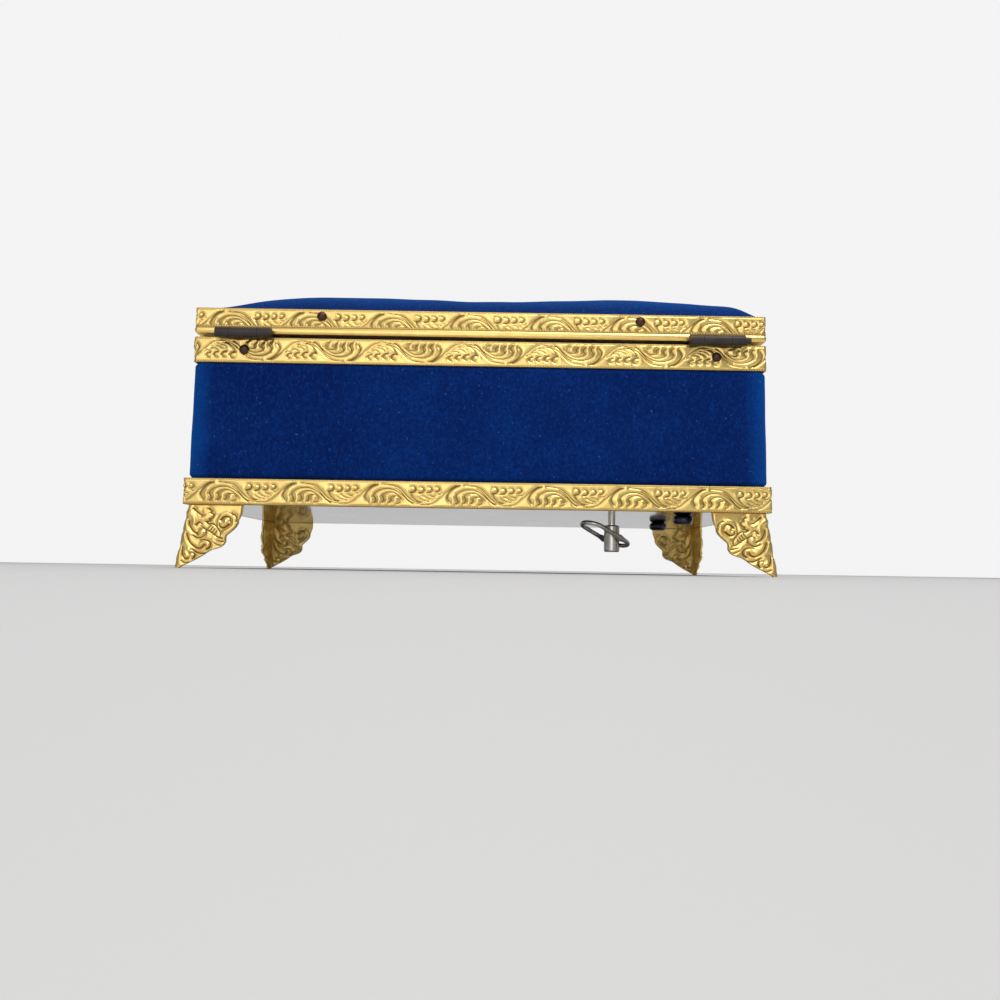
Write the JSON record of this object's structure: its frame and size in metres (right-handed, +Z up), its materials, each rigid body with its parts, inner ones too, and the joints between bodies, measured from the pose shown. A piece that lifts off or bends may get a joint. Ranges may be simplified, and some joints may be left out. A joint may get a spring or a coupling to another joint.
{
  "type": "musical jewelry box",
  "caption": "Footed musical jewelry box: velvet case and padded hinged lid in stamped gilt bands, with a lined tray, ring rolls and a wind-up comb movement.",
  "frame": {"origin": "middle of the four foot tips, on the surface that they stand on", "axes": "+Z up, +X along the long side, -Y towards the front that opens, +Y towards the hinges"},
  "size_m": [0.1822, 0.1024, 0.0941],
  "materials": {
    "gilt_metal": "stamped, bright gilt",
    "blue_velvet": "velvet",
    "dark_board": "board with a glossy dark lacquer",
    "grey_board": "plain board",
    "blue_satin": "satin",
    "mirror_glass": "silvered, bevelled",
    "dark_steel": "darkened",
    "brown_steel": "bronzed",
    "blued_steel": "blued, glossy",
    "nickel_plate": "nickel plated",
    "movement_plate": "die cast",
    "movement_brass": "turned",
    "spring_steel": "ground"
  },
  "bodies": {
    "case": {"bottom_panel": "dark_board", "front_wall": "grey_board", "rear_wall": "grey_board", "left_wall": "grey_board", "right_wall": "grey_board", "velvet_cover": "blue_velvet", "wall_lining": "blue_satin", "base_band": "gilt_metal", "body_rim_band": "gilt_metal", "body_rim_nails": "brown_steel", "foot_front_left": "gilt_metal", "foot_front_right": "gilt_metal", "foot_rear_left": "gilt_metal", "foot_rear_right": "gilt_metal", "foot_nails": "gilt_metal", "case_hinge_leaf_left": "dark_steel", "case_hinge_leaf_right": "dark_steel", "hinge_pins": "dark_steel", "partition": "blue_satin", "floor_lining": "blue_satin", "tray_divider": "blue_satin", "movement_cover": "blue_satin", "ring_roll_1": "blue_satin", "ring_roll_2": "blue_satin", "ring_roll_3": "blue_satin", "ring_roll_4": "blue_satin", "ring_roll_5": "blue_satin", "movement_bedplate": "movement_plate", "mounting_screws": "blued_steel", "barrel_bridge": "movement_plate", "front_bearing": "movement_plate", "governor_frame": "movement_plate", "comb": "spring_steel", "comb_screws": "nickel_plate"},
    "lid": {"lid_band": "gilt_metal", "lid_board": "grey_board", "lid_nails": "brown_steel", "lid_pad": "blue_velvet", "lid_lining": "blue_satin", "lid_mirror": "mirror_glass", "lift_tab": "gilt_metal", "lid_hinge_leaf_left": "dark_steel", "lid_hinge_leaf_right": "dark_steel"},
    "key": {"winding_arbor": "nickel_plate", "key_hub": "nickel_plate", "key_pin": "nickel_plate"},
    "key_loop": {"key_ring": "nickel_plate"},
    "barrel": {"spring_barrel": "movement_brass", "mainspring": "spring_steel"},
    "cylinder": {"pin_cylinder": "movement_brass", "cylinder_arbor": "movement_brass"},
    "governor": {"governor_wheel": "movement_brass"},
    "fly": {"governor_fly": "movement_brass"},
    "stop": {"stop_rod": "nickel_plate"}
  },
  "joints": [
    {"name": "lid_hinge", "type": "hinge", "parent": "case", "child": "lid", "pos_m": [0, 0.04965, 0.07249], "axis": [-1, 0, 0], "range_deg": [0, 100]},
    {"name": "key_turn", "type": "hinge", "parent": "case", "child": "key", "pos_m": [-0.04375, 0.0277, 0.01185], "axis": [0, 0, 1], "range_deg": [0, 990]},
    {"name": "key_fold", "type": "hinge", "parent": "key", "child": "key_loop", "pos_m": [-0.04375, 0.0277, 0.01185], "axis": [-0.6428, 0.766, 0], "range_deg": [-6, 46]},
    {"name": "barrel_turn", "type": "hinge", "parent": "case", "child": "barrel", "pos_m": [-0.04375, 0.0277, 0.03], "axis": [0, 0, 1], "continuous": true},
    {"name": "cylinder_turn", "type": "hinge", "parent": "case", "child": "cylinder", "pos_m": [-0.04375, 0, 0.03745], "axis": [0, 1, 0], "continuous": true},
    {"name": "governor_turn", "type": "hinge", "parent": "case", "child": "governor", "pos_m": [-0.0336, -0.016, 0.03745], "axis": [0, 1, 0], "continuous": true},
    {"name": "fly_turn", "type": "hinge", "parent": "case", "child": "fly", "pos_m": [-0.026, -0.016, 0.03], "axis": [0, 0, 1], "continuous": true},
    {"name": "stop_rise", "type": "slide", "parent": "case", "child": "stop", "axis": [0, 0, 1], "range_m": [0, 0.003]}
  ],
  "couplings": [
    {"joint": "cylinder_turn", "follows": "barrel_turn", "ratio": -3},
    {"joint": "governor_turn", "follows": "barrel_turn", "ratio": 12},
    {"joint": "fly_turn", "follows": "barrel_turn", "ratio": 96},
    {"joint": "stop_rise", "follows": "lid_hinge", "m_per_rad": 0.0017}
  ]
}
